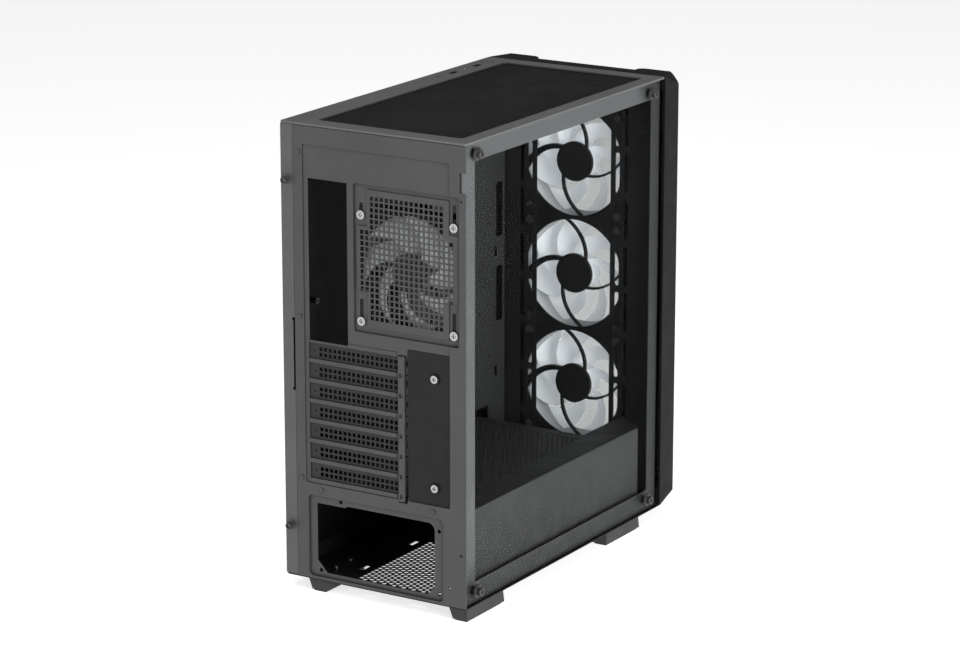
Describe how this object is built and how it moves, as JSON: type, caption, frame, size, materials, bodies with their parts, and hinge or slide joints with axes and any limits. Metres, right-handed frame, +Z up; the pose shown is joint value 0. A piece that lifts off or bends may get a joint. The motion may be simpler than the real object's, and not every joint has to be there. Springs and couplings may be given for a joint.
{
  "type": "desktop computer tower",
  "caption": "Empty mid-tower computer case with a clear side window, mesh front and top, intake and exhaust fans, expansion slot covers and a power supply bay; panels, rotors and buttons move.",
  "frame": {"origin": "middle of the bounding box, on the floor under the feet", "axes": "+Z up; the front panel faces -Y and the rear panel +Y; the window side faces -X"},
  "size_m": [0.216, 0.4244, 0.4724],
  "materials": {
    "body_paint": "fine matte dark grey powder coat",
    "inner_paint": "matte near-black powder coat",
    "slot_paint": "matte dark grey powder coat",
    "standoff_black": "black turned steel",
    "tray_plastic": "fine textured black plastic",
    "screw_steel": "zinc plated steel",
    "black_screw": "black oxide steel, knurled heads",
    "foot_plastic": "satin grey moulded plastic",
    "rubber": "soft black rubber",
    "fan_plastic": "matte black glass-filled plastic",
    "blade_plastic": "milky white translucent plastic",
    "front_plastic": "satin black moulded plastic",
    "mesh_steel": "black painted perforated sheet",
    "clear_glass": "clear tempered glass",
    "filter_mesh": "woven black dust mesh in a thin magnetic rim",
    "button_plastic": "satin dark grey caps",
    "board_green": "dark circuit board with steel sockets"
  },
  "bodies": {
    "chassis": {"rear_panel": "body_paint", "rear_fan_grille": "body_paint", "window_frame": "body_paint", "cable_side_frame": "inner_paint", "bottom_pan": "inner_paint", "top_frame": "inner_paint", "top_cover": "body_paint", "front_wall": "inner_paint", "board_tray": "inner_paint", "tray_cable_strip": "inner_paint", "psu_shroud_top": "inner_paint", "psu_shroud_side": "body_paint", "board_standoffs": "standoff_black", "drive_cage": "inner_paint", "drive_tray_lower": "tray_plastic", "drive_tray_upper": "tray_plastic", "slot_cover_1": "slot_paint", "slot_cover_2": "slot_paint", "slot_cover_3": "slot_paint", "slot_cover_4": "slot_paint", "slot_cover_5": "slot_paint", "slot_cover_6": "slot_paint", "slot_cover_7": "slot_paint", "slot_cover_screws": "screw_steel", "slot_clamp_strip": "body_paint", "slot_ledge": "inner_paint", "foot_rear_window": "foot_plastic", "foot_rear_cable": "foot_plastic", "foot_front_window": "foot_plastic", "foot_front_cable": "foot_plastic", "foot_pads": "rubber", "foot_screws": "screw_steel", "frame_rivets": "black_screw", "rear_fan_frame": "fan_plastic", "low_fan_frame": "fan_plastic", "mid_fan_frame": "fan_plastic", "top_fan_frame": "fan_plastic", "rear_fan_screws": "screw_steel", "front_fan_screws": "black_screw", "io_board": "board_green"},
    "glass": {"glass_panel": "clear_glass", "glass_washers": "rubber"},
    "cable_panel": {"cable_side_panel": "body_paint"},
    "front": {"front_panel_shell": "front_plastic", "front_mesh": "mesh_steel"},
    "filter": {"top_filter": "filter_mesh"},
    "access": {"slot_access_cover": "inner_paint", "access_cover_screws": "screw_steel"},
    "power": {"power_button": "button_plastic"},
    "reset": {"reset_button": "button_plastic"},
    "rear_rotor": {"rear_fan_rotor": "blade_plastic"},
    "low_rotor": {"low_fan_rotor": "blade_plastic"},
    "mid_rotor": {"mid_fan_rotor": "blade_plastic"},
    "top_rotor": {"top_fan_rotor": "blade_plastic"},
    "glass_screw_rear_top": {"window_screw_rear_top": "black_screw"},
    "glass_screw_rear_low": {"window_screw_rear_low": "black_screw"},
    "glass_screw_front_top": {"window_screw_front_top": "black_screw"},
    "glass_screw_front_low": {"window_screw_front_low": "black_screw"},
    "cable_screw_top": {"panel_screw_top": "black_screw"},
    "cable_screw_low": {"panel_screw_low": "black_screw"}
  },
  "joints": [
    {"name": "glass_off", "type": "slide", "parent": "chassis", "child": "glass", "axis": [-1, 0, 0], "range_m": [0, 0.12]},
    {"name": "cable_panel_off", "type": "slide", "parent": "chassis", "child": "cable_panel", "axis": [0, 1, 0], "range_m": [0, 0.42]},
    {"name": "front_panel_off", "type": "slide", "parent": "chassis", "child": "front", "axis": [0, -1, 0], "range_m": [0, 0.12]},
    {"name": "top_filter_off", "type": "slide", "parent": "chassis", "child": "filter", "axis": [0, 0, 1], "range_m": [0, 0.08]},
    {"name": "access_cover_off", "type": "slide", "parent": "chassis", "child": "access", "axis": [0, 1, 0], "range_m": [0, 0.05]},
    {"name": "power_press", "type": "slide", "parent": "chassis", "child": "power", "axis": [0, 0, -1], "range_m": [0, 0.0015], "stiffness_N_per_m": 1500},
    {"name": "reset_press", "type": "slide", "parent": "chassis", "child": "reset", "axis": [0, 0, -1], "range_m": [0, 0.0015], "stiffness_N_per_m": 1000},
    {"name": "rear_fan_spin", "type": "hinge", "parent": "chassis", "child": "rear_rotor", "pos_m": [-0.035, 0.18825, 0.337], "axis": [0, 1, 0], "continuous": true},
    {"name": "low_fan_spin", "type": "hinge", "parent": "chassis", "child": "low_rotor", "pos_m": [0.003, -0.18975, 0.132], "axis": [0, 1, 0], "continuous": true},
    {"name": "mid_fan_spin", "type": "hinge", "parent": "chassis", "child": "mid_rotor", "pos_m": [0.003, -0.18975, 0.252], "axis": [0, 1, 0], "continuous": true},
    {"name": "top_fan_spin", "type": "hinge", "parent": "chassis", "child": "top_rotor", "pos_m": [0.003, -0.18975, 0.372], "axis": [0, 1, 0], "continuous": true},
    {"name": "window_screw_rear_low_turn", "type": "hinge", "parent": "glass", "child": "glass_screw_rear_low", "pos_m": [-0.102, 0.18425, 0.027], "axis": [1, 0, 0], "continuous": true},
    {"name": "window_screw_rear_top_turn", "type": "hinge", "parent": "glass", "child": "glass_screw_rear_top", "pos_m": [-0.102, 0.18425, 0.459], "axis": [1, 0, 0], "continuous": true},
    {"name": "window_screw_front_low_turn", "type": "hinge", "parent": "glass", "child": "glass_screw_front_low", "pos_m": [-0.102, -0.15225, 0.027], "axis": [1, 0, 0], "continuous": true},
    {"name": "window_screw_front_top_turn", "type": "hinge", "parent": "glass", "child": "glass_screw_front_top", "pos_m": [-0.102, -0.15225, 0.459], "axis": [1, 0, 0], "continuous": true},
    {"name": "panel_screw_low_turn", "type": "hinge", "parent": "cable_panel", "child": "cable_screw_low", "pos_m": [0.1003, 0.20425, 0.0655], "axis": [0, 1, 0], "continuous": true},
    {"name": "panel_screw_top_turn", "type": "hinge", "parent": "cable_panel", "child": "cable_screw_top", "pos_m": [0.1003, 0.20425, 0.415], "axis": [0, 1, 0], "continuous": true}
  ]
}
